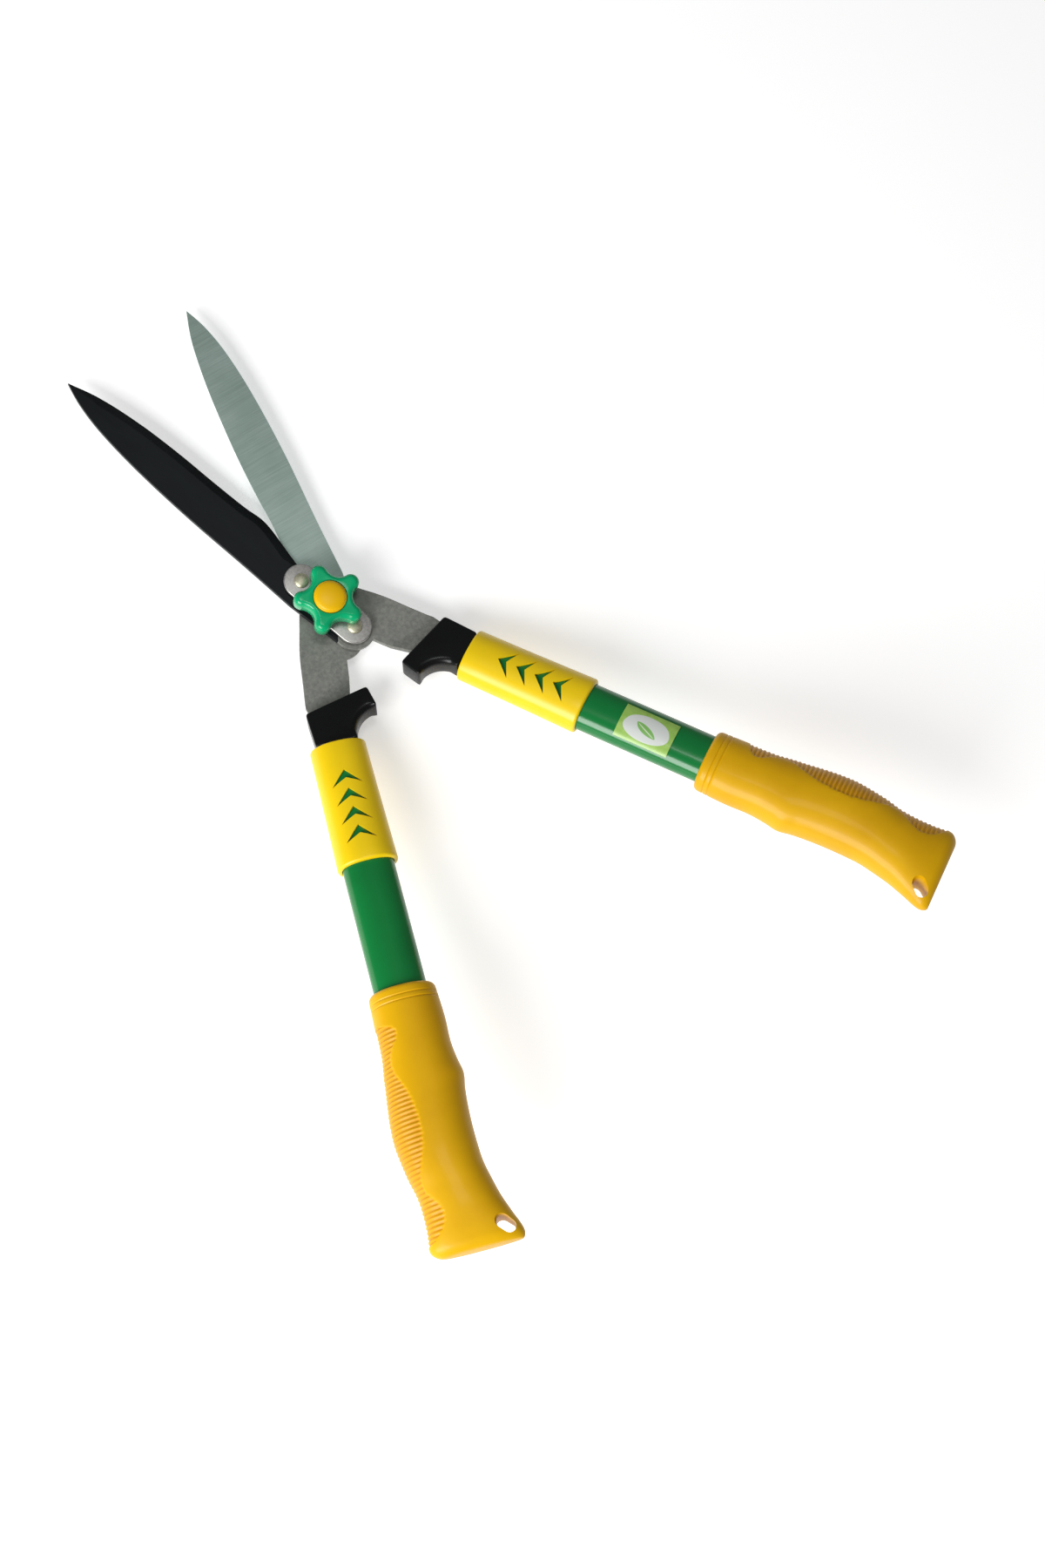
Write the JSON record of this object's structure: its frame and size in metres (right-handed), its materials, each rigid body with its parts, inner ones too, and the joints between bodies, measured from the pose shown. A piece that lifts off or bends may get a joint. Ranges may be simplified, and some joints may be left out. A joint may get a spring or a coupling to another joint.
{
  "type": "hedge shears",
  "caption": "Two-handled hedge shears: long blades crossing at a pivot with a lobed tension knob, tangs bent up into tubular handles with moulded grips.",
  "frame": {"origin": "on the pivot axis, at the flat underside of the pivot bolt's head", "axes": "+Z along the pivot axis, from the bolt's head to the tension knob; +Y along the shears' mid-line towards the blade tips; +X to the side of the handle that carries the upper blade"},
  "size_m": [0.3612, 0.5225, 0.0977],
  "materials": {
    "black_coat": "satin, coated",
    "brushed_blade": "fine cross brushing",
    "plain_steel": "plain",
    "brassed_steel": "dull plated",
    "black_plastic": "semi-gloss, moulded",
    "yellow_plastic": "moulded",
    "green_tube": "gloss",
    "orange_grip": "soft satin, ribbed at the outer side",
    "green_knob": "moulded",
    "label_film": "printed sticker, no text"
  },
  "bodies": {
    "right_half": {"upper_blade": "black_coat", "right_bolster": "black_plastic", "right_tang_plug": "black_plastic", "right_tang_rivet": "plain_steel", "right_tube": "green_tube", "right_sleeve": "yellow_plastic", "right_grip": "orange_grip", "tube_label": "label_film", "pivot_bolt": "plain_steel", "lower_washer": "plain_steel", "lock_spacer": "black_plastic", "lock_plate": "plain_steel", "lock_rivet_front": "brassed_steel", "lock_rivet_rear": "brassed_steel", "knob_washer": "plain_steel"},
    "left_half": {"lower_blade": "brushed_blade", "left_bolster": "black_plastic", "left_tang_plug": "black_plastic", "left_tang_rivet": "plain_steel", "left_tube": "green_tube", "left_sleeve": "yellow_plastic", "left_grip": "orange_grip"},
    "tension_knob": {"knob_body": "green_knob", "knob_nut": "plain_steel", "knob_cap": "yellow_plastic"}
  },
  "joints": [
    {"name": "pivot", "type": "hinge", "parent": "right_half", "child": "left_half", "pos_m": [0, 0, 0.00925], "axis": [0, 0, -1], "range_deg": [-24.6, 50]},
    {"name": "knob_turn", "type": "hinge", "parent": "right_half", "child": "tension_knob", "pos_m": [0, 0, 0.02], "axis": [0, 0, 1], "continuous": true}
  ]
}
